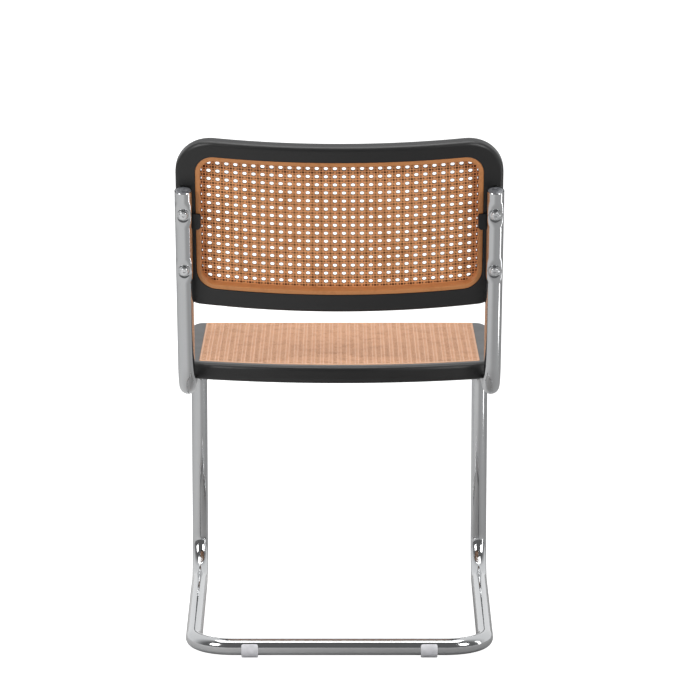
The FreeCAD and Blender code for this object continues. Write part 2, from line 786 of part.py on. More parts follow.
def seat_pads():
    """Four saddle pads that carry the seat frame on the round tubes."""
    pads = []
    for _, sign in SIDES:
        rear = Vector(sign * post_x, 0, 0)
        front = Vector(seat_run_x(sign, seat_front_y), seat_front_y, 0)
        tube = rod(tube_radius + pad_clearance, rear, front - rear, (front - rear).Length)
        for along in (pad_rear_y, pad_front_y):
            x = seat_run_x(sign, along)
            pad = block((x - pad_width / 2, x + pad_width / 2),
                        (along - pad_length / 2, along + pad_length / 2), (tube_radius / 2, seat_bottom))
            hole_radius = seat_screw_diameter / 2 + screw_hole_clearance
            hole = rod(hole_radius, Vector(x, along, 0), Vector(0, 0, 1), seat_top)
            pads.append(pad.cut(tube).cut(hole))
    return placed(group(pads), seat_place)


def seat_screws():
    """Four screws from below through the seat runs and pads into the side rails."""
    screws = []
    length = tube_radius + seat_bottom + seat_screw_reach
    for _, sign in SIDES:
        for along in (pad_rear_y, pad_front_y):
            screw = pan_screw(seat_screw_diameter, seat_screw_head_diameter, seat_screw_head_height, length)
            seat = Vector(seat_run_x(sign, along), along, -tube_radius)
            screws.append(placed(screw, FreeCAD.Placement(seat, upside_down)))
    return placed(group(screws), seat_place)


nodes = {}
for name, sign in SIDES:
    nodes["side_tube_" + name] = side_tube(sign)
    nodes["post_cap_" + name] = post_cap(sign)
    nodes["rear_glide_" + name] = rear_glide(sign)
nodes["floor_bridge"] = floor_bridge()
nodes["bridge_screws"] = group([joint_screw(sign) for _, sign in SIDES])
nodes["front_glides"] = group([front_glide(sign) for _, sign in SIDES])
nodes.update(back_frame_parts())
nodes["back_dowels"] = placed(group(back_dowels()), back_place)
nodes["back_cane_panel"] = back_panel()
nodes["panel_clips"] = panel_clips()
nodes["back_screws"] = back_screws()
nodes["back_inserts"] = back_inserts()
nodes.update(seat_frame_parts())
nodes["seat_dowels"] = placed(group(seat_dowels()), seat_place)
nodes["seat_cane_panel"] = seat_panel()
nodes["seat_pads"] = seat_pads()
nodes["seat_screws"] = seat_screws()

for node, shape in nodes.items():
    save(shape, node)
    print(node, len(shape.Solids), "valid" if shape.isValid() else "INVALID", round(shape.Volume))
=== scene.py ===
import bmesh
import bpy
import numpy as np
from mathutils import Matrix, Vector


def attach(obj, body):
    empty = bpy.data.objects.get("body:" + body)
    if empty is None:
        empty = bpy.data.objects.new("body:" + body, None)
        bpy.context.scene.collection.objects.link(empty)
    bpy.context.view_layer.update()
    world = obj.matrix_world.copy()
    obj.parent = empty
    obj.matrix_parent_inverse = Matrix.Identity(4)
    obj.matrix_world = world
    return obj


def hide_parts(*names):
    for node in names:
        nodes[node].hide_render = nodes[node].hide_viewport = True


# A cantilever dining chair, dressed in the order in which it is put together: steel tubes,
# back, seat, then the studio. Sizes are millimetres until a mesh is made. X runs to the
# side, -Y is the front, +Z is up.

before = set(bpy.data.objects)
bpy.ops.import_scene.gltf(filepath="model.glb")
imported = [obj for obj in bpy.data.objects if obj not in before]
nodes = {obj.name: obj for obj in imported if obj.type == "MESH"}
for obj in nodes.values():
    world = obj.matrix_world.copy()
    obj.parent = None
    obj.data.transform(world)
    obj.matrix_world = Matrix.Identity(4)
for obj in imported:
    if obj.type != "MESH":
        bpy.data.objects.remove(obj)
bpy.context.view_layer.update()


# Side tubes. Each is one length of 25 mm round steel tube with a 1.4 mm wall, bent four times
# from post to heel, pressed flat behind the back screws and then chromed.

MM = 0.001
SIDES = (("left", -1), ("right", 1))
tube_radius = 12.5
tube_wall = 1.4
bend_radius = 60.0
recline = np.radians(18.4)
post_length = 328.3
foot_y, foot_z = 137.60, 385.8
post_x, knee_x, toe_x, heel_x, tube_end_x = 225.0, 219.75, 220.1, 215.5, 132.1
knee_y, knee_z = -248.10, 381.09
toe_y, heel_y, floor_run_z = -273.10, 215.00, 15.5
back_screw_along = (202.6, 293.1)
press_depth = 1.6
press_half_length = 9.0
press_ramp = 12.0
press_squareness = 1.5
dimple_radius = 8.0
dimple_width = 1.8
dimple_depth = 1.8
tube_edge = 1.2
station_step = 5.0
fine_step = 0.8
fine_reach = 22.0
tube_sides = 64
floor_slack = 1.0
joined_within = 0.001


def on_back(x, y, z):
    """The back's own axes stand on the line of the posts: they lean back by the recline."""
    y, z = np.asarray(y, float), np.asarray(z, float)
    world_y = foot_y + y * np.cos(recline) + z * np.sin(recline)
    world_z = foot_z - y * np.sin(recline) + z * np.cos(recline)
    return np.stack(np.broadcast_arrays(x, world_y, world_z), axis=-1)


def bent_line(corners, radius, lengths):
    """Points and directions at given lengths along straight runs joined by tangent arcs.

    On a run the point is start + length * way. On an arc of turning angle a it is
    centre - radius * cos(a) * inward + radius * sin(a) * way, with a = length / radius.
    """
    corners = np.asarray(corners, float)
    ways = np.diff(corners, axis=0)
    runs = np.linalg.norm(ways, axis=1)
    ways = ways / runs[:, None]
    turns = np.arccos(np.sum(ways[:-1] * ways[1:], axis=1))
    setbacks = np.concatenate([[0.0], radius * np.tan(turns / 2), [0.0]])
    points = np.zeros((len(lengths), 3))
    directions = np.zeros((len(lengths), 3))
    reach = 0.0
    for run in range(len(ways)):
        here = lengths >= reach
        start = corners[run] + setbacks[run] * ways[run]
        points[here] = start + (lengths[here] - reach)[:, None] * ways[run]
        directions[here] = ways[run]
        reach += runs[run] - setbacks[run] - setbacks[run + 1]
        if run < len(turns):
            here = lengths >= reach
            inward = ways[run + 1] - np.cos(turns[run]) * ways[run]
            inward = inward / np.linalg.norm(inward)
            centre = corners[run + 1] - setbacks[run + 1] * ways[run] + radius * inward
            angle = ((lengths[here] - reach) / radius)[:, None]
            points[here] = centre - radius * (np.cos(angle) * inward - np.sin(angle) * ways[run])
            directions[here] = np.cos(angle) * ways[run] + np.sin(angle) * inward
            reach += radius * turns[run]
    return points, directions, reach


def grid_faces(rows, columns, round_rows=False, round_columns=True):
    """Four-sided faces of a grid numbered row by row; a closed way joins its end to its start."""
    row = np.arange(rows if round_rows else rows - 1)
    column = np.arange(columns if round_columns else columns - 1)
    row, column = np.meshgrid(row, column, indexing="ij")
    next_row, next_column = (row + 1) % rows, (column + 1) % columns
    corners = [row * columns + column, row * columns + next_column,
               next_row * columns + next_column, next_row * columns + column]
    return np.stack(corners, axis=-1).reshape(-1, 4)


def make_piece(name, points, faces, material, crease=35.0):
    """A mesh object from points in millimetres: doubles joined, faces turned to the outside."""
    used, faces = np.unique(faces, return_inverse=True)
    faces = faces.reshape(-1, 4)
    points = np.asarray(points, float).reshape(-1, 3)[used] * MM
    first, second, third, fourth = (points[faces[:, k]] for k in range(4))
    volume = np.sum(np.cross(first, second) * third) + np.sum(np.cross(first, third) * fourth)
    if volume < 0:
        faces = faces[:, ::-1]
    mesh = bpy.data.meshes.new(name)
    mesh.vertices.add(len(points))
    mesh.vertices.foreach_set("co", points.ravel())
    mesh.loops.add(faces.size)
    mesh.loops.foreach_set("vertex_index", np.ascontiguousarray(faces).ravel())
    mesh.polygons.add(len(faces))
    mesh.polygons.foreach_set("loop_start", np.arange(0, faces.size, 4))
    mesh.update(calc_edges=True)
    joined = bmesh.new()
    joined.from_mesh(mesh)
    bmesh.ops.remove_doubles(joined, verts=joined.verts, dist=joined_within * MM)
    joined.to_mesh(mesh)
    joined.free()
    mesh.validate()
    mesh.shade_smooth()
    mesh.set_sharp_from_angle(angle=np.radians(crease))
    mesh.materials.append(material)
    piece = bpy.data.objects.new(name, mesh)
    bpy.context.scene.collection.objects.link(piece)
    return piece


def linear(code):
    """A colour from its sRGB hex code, as linear red, green, blue and alpha."""
    values = np.array([int(code[k:k + 2], 16) for k in (1, 3, 5)]) / 255
    low, high = values / 12.92, ((values + 0.055) / 1.055) ** 2.4
    return (*np.where(values <= 0.04045, low, high), 1.0)


def add_node(tree, kind, settings, links=()):
    """One shader node, its settings named as properties or inputs, and links to its inputs."""
    made = tree.nodes.new("ShaderNode" + kind)
    for key, value in settings.items():
        if isinstance(key, int) or key in made.inputs:
            made.inputs[key].default_value = value
        else:
            setattr(made, key, value)
    for source, target in links:
        tree.links.new(source, made.inputs[target])
    return made


def new_material(name, **values):
    """A material whose shader takes its even values on its own sockets."""
    material = bpy.data.materials.new(name)
    material.use_nodes = True
    shader = material.node_tree.nodes["Principled BSDF"]
    for key, value in values.items():
        shader.inputs[key.replace("_", " ")].default_value = value
    return material, material.node_tree, shader


# Bright chrome plate on polished tube: a clear mirror, its gloss uneven by a hair where it was
# buffed along the tube and dulled by handling.
chrome, tree, shader = new_material("bright_chrome_plate", Metallic=1.0)
shader.inputs["Base Color"].default_value = linear("#c9cacb")
place = add_node(tree, "TexCoord", {})
haze = add_node(tree, "TexNoise", {"Scale": 22.0, "Detail": 3.0}, [(place.outputs["Object"], "Vector")])
gloss = add_node(tree, "MapRange", {"To Min": 0.05, "To Max": 0.13}, [(haze.outputs["Fac"], "Value")])
tree.links.new(gloss.outputs["Result"], shader.inputs["Roughness"])
buffing = add_node(tree, "TexNoise", {"Scale": 160.0, "Detail": 2.0}, [(place.outputs["Object"], "Vector")])
ripple = add_node(tree, "Bump", {"Strength": 0.02, "Distance": 0.0004},
                  [(buffing.outputs["Fac"], "Height")])
tree.links.new(ripple.outputs["Normal"], shader.inputs["Normal"])


def side_tube(sign):
    """A closed loop of (length, radius) pairs, out along the tube and back along its bore.

    The rear half of the section is (|across| / radius) ^ n + (|rear| / depth) ^ n = 1, where n
    grows from 2 and depth shrinks behind a screw. A ring of exp(-(distance / width) ^ 2) sinks
    round the screw's head.
    """
    top = on_back(sign * post_x, 0.0, post_length)
    corners = [top, (sign * post_x, foot_y, foot_z), (sign * knee_x, knee_y, knee_z),
               (sign * toe_x, toe_y, floor_run_z), (sign * heel_x, heel_y, floor_run_z),
               (sign * tube_end_x, heel_y, floor_run_z)]
    whole = bent_line(corners, bend_radius, np.array([0.0]))[2]
    presses = [post_length - along for along in back_screw_along]
    fine = [np.arange(at - fine_reach, at + fine_reach, fine_step) for at in presses]
    even = np.linspace(tube_edge, whole - tube_edge, int(whole / station_step))
    lengths = np.unique(np.concatenate([even, *fine]))
    edge_turn = np.radians([0.0, 22.0, 45.0, 67.0])
    edge_in, edge_down = tube_edge * (1 - np.sin(edge_turn)), tube_edge * (1 - np.cos(edge_turn))
    bore = tube_radius - tube_wall
    loop_length = np.concatenate([edge_in, lengths, whole - edge_in[::-1], [whole], lengths[::-1], [0.0]])
    loop_radius = np.concatenate([tube_radius - edge_down[::-1], np.full(len(lengths), tube_radius),
                                  tube_radius - edge_down, np.full(len(lengths) + 2, bore)])
    centre, forward, _ = bent_line(corners, bend_radius, loop_length)
    on_floor = (centre[:, 2] < floor_run_z + floor_slack) & (centre[:, 1] > 0)
    level = np.cross(forward, (0.0, 0.0, 1.0))
    sideways = np.array([1.0, 0.0, 0.0]) - forward[:, :1] * forward
    side = np.where(on_floor[:, None], level, sideways)
    side = side / np.linalg.norm(side, axis=1)[:, None]
    other = np.cross(forward, side)
    angle = np.linspace(0, 2 * np.pi, tube_sides, endpoint=False)
    across = loop_radius[:, None] * np.cos(angle)
    rear = -loop_radius[:, None] * np.sin(angle)
    for at in presses:
        along = loop_length[:, None] - at
        ramp = np.clip((np.abs(along) - press_half_length) / press_ramp, 0, 1)
        pressed = 1 - ramp * ramp * (3 - 2 * ramp)
        power = 2 + press_squareness * pressed
        depth = loop_radius[:, None] - press_depth * pressed
        share = (np.abs(np.cos(angle)) ** power
                 + np.abs(np.sin(angle) * loop_radius[:, None] / depth) ** power)
        reach = share ** (-1 / power)
        behind = (np.sin(angle) < 0) & (pressed > 0)
        across = np.where(behind, loop_radius[:, None] * np.cos(angle) * reach, across)
        rear = np.where(behind, -loop_radius[:, None] * np.sin(angle) * reach, rear)
        ring = np.exp(-((np.hypot(across, along) - dimple_radius) / dimple_width) ** 2)
        rear = rear - np.where(rear > 0, dimple_depth * ring, 0.0)
    points = centre[:, None] + across[..., None] * side[:, None] - rear[..., None] * other[:, None]
    faces = grid_faces(len(loop_length), tube_sides, round_rows=True)
    return make_piece("side_tube_" + ("left" if sign < 0 else "right") + "_chromed", points, faces, chrome)


for name, sign in SIDES:
    tube = side_tube(sign)
    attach(tube, "root")
    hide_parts("side_tube_" + name)


# Floor bridge. The same tube, straight, across the back at floor level. Its ends are drawn down
# to slide into the side tubes, and the seams show as fine rings.

bridge_insertion = 22.0
bridge_neck_radius = 11.0
bridge_neck_bore = 9.6
bridge_neck_inner = 5.0
seam_edge = 0.4
seam_clear = 2.0
bridge_rings = 14
bridge_first_ring = 10.0

shoulder = tube_end_x
tip = tube_end_x + bridge_insertion
bore_end = tube_end_x - bridge_neck_inner
turn = np.radians([90.0, 60.0, 30.0, 0.0])
edge_x = shoulder - seam_edge * (1 - np.sin(turn))
edge_r = tube_radius - seam_edge * (1 - np.cos(turn))
half_x = np.concatenate([np.linspace(bridge_first_ring, shoulder - seam_clear, bridge_rings), edge_x[::-1],
                         [shoulder, tip, tip, bore_end, bore_end]])
half_r = np.concatenate([np.full(bridge_rings, tube_radius), edge_r[::-1],
                         [bridge_neck_radius, bridge_neck_radius, bridge_neck_bore, bridge_neck_bore,
                          tube_radius - tube_wall]])
loop_x = np.concatenate([half_x, -half_x[::-1]])[:, None]
loop_r = np.concatenate([half_r, half_r[::-1]])[:, None]
angle = np.linspace(0, 2 * np.pi, tube_sides, endpoint=False)
points = np.stack(np.broadcast_arrays(loop_x, heel_y + loop_r * np.cos(angle),
                                      floor_run_z + loop_r * np.sin(angle)), axis=-1)
bridge = make_piece("floor_bridge_chromed", points,
                    grid_faces(len(loop_x), tube_sides, round_rows=True), chrome)
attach(bridge, "root")
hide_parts("floor_bridge")


# Rear glides. Moulded nylon saddles that wrap the joints of side tubes and bridge from below.
# Their soles are flat, and every outer edge is rounded as it left the mould.

glide_width = 24.5
glide_outer = 15.9
glide_inner = 12.55
glide_lip_rise = 7.0
glide_edge = 1.1
glide_corner = 3.2
corner_stations = (1.6, 2.3)
lip_crown_rise = 0.5
lip_crown_share = 0.85
glide_middle_stations = 9
glide_steps = 61

# Natural nylon, moulded: milky and slightly waxy, with faint flow marks and a dusty sole.
nylon, tree, shader = new_material("natural_moulded_nylon", Roughness=0.42, IOR=1.53)
place = add_node(tree, "TexCoord", {})
cloud = add_node(tree, "TexNoise", {"Scale": 90.0, "Detail": 4.0}, [(place.outputs["Object"], "Vector")])
milky = add_node(tree, "ValToRGB", {}, [(cloud.outputs["Fac"], "Fac")])
milky.color_ramp.elements[0].position = 0.3
milky.color_ramp.elements[0].color = linear("#d6d6da")
milky.color_ramp.elements[1].position = 0.7
milky.color_ramp.elements[1].color = linear("#ececf0")
tree.links.new(milky.outputs["Color"], shader.inputs["Base Color"])
grain = add_node(tree, "TexNoise", {"Scale": 900.0, "Detail": 2.0}, [(place.outputs["Object"], "Vector")])
texture = add_node(tree, "Bump", {"Strength": 0.15, "Distance": 0.0002}, [(grain.outputs["Fac"], "Height")])
tree.links.new(texture.outputs["Normal"], shader.inputs["Normal"])


def rear_glide(sign):
    """Across the glide runs x; round the tube runs an angle from one lip to the other.

    Outer points are outer * (sin(a), -cos(a)), cut flat at the floor, with the radius drawn in
    by a quarter circle at each end. The lips fall at the ends by the corner's quarter circle.
    """
    half = glide_width / 2
    edge = half - glide_edge * (1 - np.sin(np.radians([0.0, 30.0, 60.0, 90.0])))
    middle = np.linspace(-half + glide_corner, half - glide_corner, glide_middle_stations)
    x = np.concatenate([-edge[:1], -edge[::-1], middle, edge, edge[-1:]])
    x = np.sort(np.concatenate([x, *[(at - half, half - at) for at in corner_stations]]))
    near_end = np.clip(np.abs(x) - (half - glide_edge), 0, glide_edge)
    drawn_in = glide_edge - np.sqrt(np.maximum(glide_edge ** 2 - near_end ** 2, 0))
    near_corner = np.clip(np.abs(x) - (half - glide_corner), 0, glide_corner)
    fall = glide_corner - np.sqrt(np.maximum(glide_corner ** 2 - near_corner ** 2, 0))
    outer = (glide_outer - drawn_in)[:, None]
    outer[0] = outer[-1] = glide_inner
    lip = np.pi / 2 + np.arcsin((glide_lip_rise - fall)[:, None] / glide_outer)
    angle = np.linspace(-1, 1, glide_steps) * lip
    sole = floor_run_z - drawn_in[:, None]
    outer_y, outer_z = outer * np.sin(angle), np.maximum(-outer * np.cos(angle), -sole)
    inner_y, inner_z = glide_inner * np.sin(angle[:, ::-1]), -glide_inner * np.cos(angle[:, ::-1])
    crown = glide_inner + lip_crown_share * (outer - glide_inner)
    crown_angle = np.pi / 2 + np.arcsin((glide_lip_rise - fall + lip_crown_rise)[:, None] / glide_outer)
    lip_y, lip_z = crown * np.sin(crown_angle), -crown * np.cos(crown_angle)
    y = heel_y + np.concatenate([outer_y, lip_y, inner_y, -lip_y], axis=1)
    z = floor_run_z + np.concatenate([outer_z, lip_z, inner_z, lip_z], axis=1)
    points = np.stack(np.broadcast_arrays(sign * tube_end_x + x[:, None], y, z), axis=-1)
    faces = grid_faces(len(x), y.shape[1])
    return make_piece("rear_glide_" + ("left" if sign < 0 else "right") + "_moulded", points, faces, nylon)


for name, sign in SIDES:
    glide = rear_glide(sign)
    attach(glide, "root")
    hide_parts("rear_glide_" + name)


def dress(names, material):
    """Give one material to pieces that are shown as the CAD made them."""
    for name in names:
        nodes[name].data.materials.clear()
        nodes[name].data.materials.append(material)


# Front glides. Turned buttons of the same nylon, plugged into holes under the floor runs. They
# keep the front of the chair just off the floor.
dress(["front_glides"], nylon)

# Bridge and seat screws. Zinc-plated steel: greyer and duller than chrome, with a faint
# blue-yellow bloom from the passivation.
zinc, tree, shader = new_material("zinc_plated_steel", Metallic=1.0)
place = add_node(tree, "TexCoord", {})
bloom = add_node(tree, "TexNoise", {"Scale": 400.0, "Detail": 3.0}, [(place.outputs["Object"], "Vector")])
tint = add_node(tree, "ValToRGB", {}, [(bloom.outputs["Fac"], "Fac")])
tint.color_ramp.elements[0].color = linear("#a9abad")
tint.color_ramp.elements[1].color = linear("#b9b6a6")
tree.links.new(tint.outputs["Color"], shader.inputs["Base Color"])
dull = add_node(tree, "MapRange", {"To Min": 0.26, "To Max": 0.42}, [(bloom.outputs["Fac"], "Value")])
tree.links.new(dull.outputs["Result"], shader.inputs["Roughness"])
dress(["bridge_screws", "seat_screws"], zinc)


# Post caps. Injection-moulded plugs of grey plastic, pressed into the open tops of the posts.
# They sit just inside the tubes' rounded ends, which show round them as bright rims.

cap_edge = 0.5
cap_dome = 0.9
cap_radius = 11.2
cap_stem_length = 14.0
cap_stem_radius = 11.05
cap_rounding = 0.6
cap_undercut = 0.2
dome_rings = 10

# Grey styrene, moulded: smooth and a little glossy, clouded by a touch of shrinkage in the
# middle and fine radial draw marks that are drawn about twice as coarse as real ones.
styrene, tree, shader = new_material("grey_moulded_styrene", IOR=1.59)
place = add_node(tree, "TexCoord", {})
sink = add_node(tree, "TexNoise", {"Scale": 130.0, "Detail": 3.0}, [(place.outputs["Object"], "Vector")])
clouds = add_node(tree, "ValToRGB", {}, [(sink.outputs["Fac"], "Fac")])
clouds.color_ramp.elements[0].position = 0.35
clouds.color_ramp.elements[0].color = linear("#5c5d61")
clouds.color_ramp.elements[1].position = 0.65
clouds.color_ramp.elements[1].color = linear("#84868a")
tree.links.new(clouds.outputs["Color"], shader.inputs["Base Color"])
gloss = add_node(tree, "MapRange", {"To Min": 0.2, "To Max": 0.34}, [(sink.outputs["Fac"], "Value")])
tree.links.new(gloss.outputs["Result"], shader.inputs["Roughness"])
wave = add_node(tree, "Bump", {"Strength": 0.1, "Distance": 0.0005}, [(sink.outputs["Fac"], "Height")])
tree.links.new(wave.outputs["Normal"], shader.inputs["Normal"])


def post_cap(sign):
    """A profile of (radius, height) turned about the post: dome, rounded edge, rim and stem."""
    ball = (cap_radius ** 2 + cap_dome ** 2) / (2 * cap_dome)
    dome_r = np.linspace(0, cap_radius - cap_rounding, dome_rings)
    dome_h = cap_edge + cap_dome - ball + np.sqrt(ball ** 2 - dome_r ** 2)
    turn = np.radians([25.0, 50.0, 75.0, 90.0])
    edge_r = cap_radius - cap_rounding * (1 - np.sin(turn))
    edge_h = dome_h[-1] - cap_rounding * (1 - np.cos(turn))
    under = [cap_radius - cap_undercut, cap_stem_radius, cap_stem_radius, 0.0]
    under_h = [0.0, 0.0, -cap_stem_length, -cap_stem_length]
    radius = np.concatenate([dome_r, edge_r, under])[:, None]
    height = np.concatenate([dome_h, edge_h, under_h])[:, None]
    angle = np.linspace(0, 2 * np.pi, tube_sides, endpoint=False)
    points = on_back(sign * post_x + radius * np.cos(angle), radius * np.sin(angle), post_length + height)
    faces = grid_faces(len(radius), tube_sides)
    return make_piece("post_cap_" + ("left" if sign < 0 else "right") + "_moulded", points, faces, styrene)


for name, sign in SIDES:
    cap = post_cap(sign)
    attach(cap, "root")
    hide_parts("post_cap_" + name)


# Back frame. Two rails and two stiles of bent beech, doweled, sanded flush and lacquered black.
# Their joints don't show under the lacquer.

# Black lacquer on beech: satin, with the pores of the wood just felt as a fine orange peel,
# and a little more gloss where hands rub the edges.
lacquer, tree, shader = new_material("satin_black_lacquer", IOR=1.5)
place = add_node(tree, "TexCoord", {})
mottle = add_node(tree, "TexNoise", {"Scale": 35.0, "Detail": 4.0}, [(place.outputs["Object"], "Vector")])
shade = add_node(tree, "ValToRGB", {}, [(mottle.outputs["Fac"], "Fac")])
shade.color_ramp.elements[0].color = linear("#141414")
shade.color_ramp.elements[1].color = linear("#1b1a1a")
tree.links.new(shade.outputs["Color"], shader.inputs["Base Color"])
sheen = add_node(tree, "MapRange", {"To Min": 0.34, "To Max": 0.46}, [(mottle.outputs["Fac"], "Value")])
tree.links.new(sheen.outputs["Result"], shader.inputs["Roughness"])
peel = add_node(tree, "TexNoise", {"Scale": 700.0, "Detail": 3.0}, [(place.outputs["Object"], "Vector")])
skin = add_node(tree, "Bump", {"Strength": 0.1, "Distance": 0.0003}, [(peel.outputs["Fac"], "Height")])
tree.links.new(skin.outputs["Normal"], shader.inputs["Normal"])
dress(["back_top_rail", "back_bottom_rail", "back_stile_left", "back_stile_right"], lacquer)

# Dowels. Fluted beech pegs, glued, hidden in the joints of both frames: pale wood whose
# fibres run along the peg.
beech, tree, shader = new_material("beech_dowel", Roughness=0.6)
place = add_node(tree, "TexCoord", {})
fibre = add_node(tree, "TexNoise", {"Scale": 500.0, "Detail": 4.0}, [(place.outputs["Object"], "Vector")])
wood = add_node(tree, "ValToRGB", {}, [(fibre.outputs["Fac"], "Fac")])
wood.color_ramp.elements[0].color = linear("#b98f63")
wood.color_ramp.elements[1].color = linear("#d8b88c")
tree.links.new(wood.outputs["Color"], shader.inputs["Base Color"])
dress(["back_dowels", "seat_dowels"], beech)


# Back panel. One moulding of tan plastic that imitates cane webbing: a smooth deep rim, let in
# flush behind, and 13 mm down in it the woven-looking sheet with real holes.

bow_radius = 860.0
back_crown = 18.955
window_half_width = 208.0
window_bottom, window_top = 168.0, 381.6
window_corner = 28.3
panel_clearance = 0.3
panel_flush = 0.3
rim_width = 7.0
rim_edge = 0.9
sheet_depth = 13.5
rebate_depth = 14.7
sheet_under_rim = 4.0
cane_pitch = 13.0
pair_half_gap = 2.35
crossing_reach = 4.4
pair_rise = 0.4
diagonal_rise = 0.4
hole_straight = 2.95
hole_slant = 3.0
hole_flatness = 0.82
web_top = -0.45
web_bottom = -1.1
strand_section = np.array([(-0.78, -0.75), (-0.78, 0.2), (-0.4, 0.6),
                           (0.4, 0.6), (0.78, 0.2), (0.78, -0.75)])
corner_steps, level_steps, upright_steps = 15, 42, 12
diagonal_steps = 8
probe_step = 0.5
same_spot = 1e-6


def on_bow(x, z, depth):
    """A point of the back at a depth below its rear face, whose bow is a circle about an upright."""
    y = back_crown - bow_radius + np.sqrt((bow_radius - depth) ** 2 - np.asarray(x) ** 2)
    return on_back(x, y, z)


def window_ring(inset):
    """(x, z) round the back's window, drawn in by an inset: arcs about fixed corner centres.

    Columns are insets. The corner arcs have radius corner - inset, and the runs between them
    are straight and evenly divided.
    """
    radius = window_corner - inset[None, :]
    side = window_half_width - window_corner
    low, high = window_bottom + window_corner, window_top - window_corner
    angle = np.radians(np.linspace(0, 90, corner_steps))[:, None]
    along = np.linspace(side, -side, level_steps)[1:-1, None]
    up = np.linspace(low, high, upright_steps)[1:-1, None]
    same = np.ones_like(radius)
    x = [side + radius * np.cos(angle), along * same, -side - radius * np.sin(angle),
         (-side - radius) * np.ones_like(up), -side - radius * np.cos(angle), -along * same,
         side + radius * np.sin(angle), (side + radius) * np.ones_like(up)]
    z = [high + radius * np.sin(angle), (high + radius) * np.ones_like(along),
         high + radius * np.cos(angle), up[::-1] * same, low - radius * np.sin(angle),
         (low - radius) * np.ones_like(along), low - radius * np.cos(angle), up * same]
    return np.concatenate(x), np.concatenate(z)


# Tan polypropylene, moulded: a soft satin with faint lengthwise streaks, like the rattan that
# it imitates. The streaks are drawn about three times as coarse as the real ones, to show.
def tan_plastic(name, dark, light, roughness, **values):
    """The tan moulding's colour between a dark and a light streak."""
    material, tree, shader = new_material(name, Roughness=roughness, IOR=1.49, **values)
    place = add_node(tree, "TexCoord", {})
    fine = add_node(tree, "TexNoise", {"Scale": 260.0, "Detail": 3.0}, [(place.outputs["Object"], "Vector")])
    broad = add_node(tree, "TexNoise", {"Scale": 40.0, "Detail": 2.0}, [(place.outputs["Object"], "Vector")])
    mixed = add_node(tree, "Math", {"operation": "ADD"},
                     [(fine.outputs["Fac"], 0), (broad.outputs["Fac"], 1)])
    colour = add_node(tree, "ValToRGB", {}, [(mixed.outputs["Value"], "Fac")])
    colour.color_ramp.elements[0].position = 0.8
    colour.color_ramp.elements[0].color = linear(dark)
    colour.color_ramp.elements[1].position = 1.0
    colour.color_ramp.elements[1].color = linear(light)
    tree.links.new(colour.outputs["Color"], shader.inputs["Base Color"])
    bump = add_node(tree, "Bump", {"Strength": 0.15, "Distance": 0.0002}, [(fine.outputs["Fac"], "Height")])
    tree.links.new(bump.outputs["Normal"], shader.inputs["Normal"])
    return material


rim_tan = tan_plastic("tan_polypropylene_rim", "#bd7c48", "#c6844f", 0.4)
# The strands' tan is painted lighter than the rim's, though both are one moulding: painted light that makes
# up for the shade of the rim and the holes.
strand_tan_painted_light = tan_plastic("tan_polypropylene_strands_painted_light", "#da9761", "#eba872", 0.48)
# The web between the strands is painted nearly black: painted shade for the shadow that the strands cast
# into it. It has hardly a gleam.
web_painted_shade = tan_plastic("tan_polypropylene_web_painted_shade", "#1f0a02", "#290f04", 0.75, Specular_IOR_Level=0.1)

# Section of the rim as (inset, depth): up the outer wall, over the flat and down the inner one
outer, inner = panel_clearance, panel_clearance + rim_width
round_over = np.radians([0.0, 30.0, 60.0, 90.0])
rim_inset = np.concatenate([[outer], outer + rim_edge * (1 - np.cos(round_over)),
                            inner - rim_edge * (1 - np.sin(round_over)), [inner]])
rim_depth = np.concatenate([[rebate_depth], panel_flush + rim_edge * (1 - np.sin(round_over)),
                            panel_flush + rim_edge * (1 - np.cos(round_over)), [rebate_depth]])
x, z = window_ring(rim_inset)
rim = make_piece("back_panel_rim", on_bow(x, z, rim_depth[None, :]),
                 grid_faces(*x.shape, round_rows=True), rim_tan, crease=50.0)
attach(rim, "root")
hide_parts("back_cane_panel")


def hold_back(x, z):
    """The nearest point inside the sheet's outline, a rounded rectangle that ends under the rim."""
    middle = (window_top + window_bottom) / 2
    core_x = window_half_width - window_corner
    core_z = (window_top - window_bottom) / 2 - window_corner
    radius = window_corner - panel_clearance - rim_width + sheet_under_rim
    near_x, near_z = np.clip(x, -core_x, core_x), np.clip(z, middle - core_z, middle + core_z)
    away = np.hypot(x - near_x, z - near_z)
    share = np.minimum(1.0, radius / np.maximum(away, radius))
    return near_x + (x - near_x) * share, near_z + (z - near_z) * share


def strands(starts, way, heights, along, hold):
    """Flat strands along straight lines, as (across, along, height) grids in the sheet's plane.

    A point is start + along * way + across * turned way, its height the weave's height there
    plus the section's. Beyond the sheet's outline a strand stops and its section closes.
    """
    lines = starts[:, None] + along[None, :, None] * way
    fine = np.arange(along[0], along[-1], probe_step)
    probe = starts[:, None] + fine[None, :, None] * way
    held = np.stack(hold(probe[..., 0], probe[..., 1]), axis=-1)
    within = np.abs(held - probe).max(axis=-1) < same_spot
    shown = within.any(axis=1)
    first = fine[within.argmax(axis=1)][:, None]
    last = fine[len(fine) - 1 - within[:, ::-1].argmax(axis=1)][:, None]
    out = (along[None] < first) | (along[None] > last)
    beside = np.pad(~out, ((0, 0), (1, 1)))
    full = ~out | beside[:, :-2] | beside[:, 2:]
    at = np.clip(along[None], first, last)
    lines = starts[:, None] + at[..., None] * way
    turned = np.array([-way[1], way[0]])
    scale = full[..., None].astype(float)
    flat = lines[:, :, None] + (strand_section[:, 0] * scale)[..., None] * turned
    height = heights(lines[..., 0], lines[..., 1])[..., None] + strand_section[:, 1] * scale
    stations, corners = height.shape[1:]
    one = grid_faces(stations, corners).reshape(stations - 1, corners, 4)
    wanted = (full[:, :-1] | full[:, 1:]) & shown[:, None]
    line, station = np.nonzero(wanted)
    faces = (one[station] + (line * stations * corners)[:, None, None]).reshape(-1, 4)
    return flat[..., 0].ravel(), flat[..., 1].ravel(), height.ravel(), faces


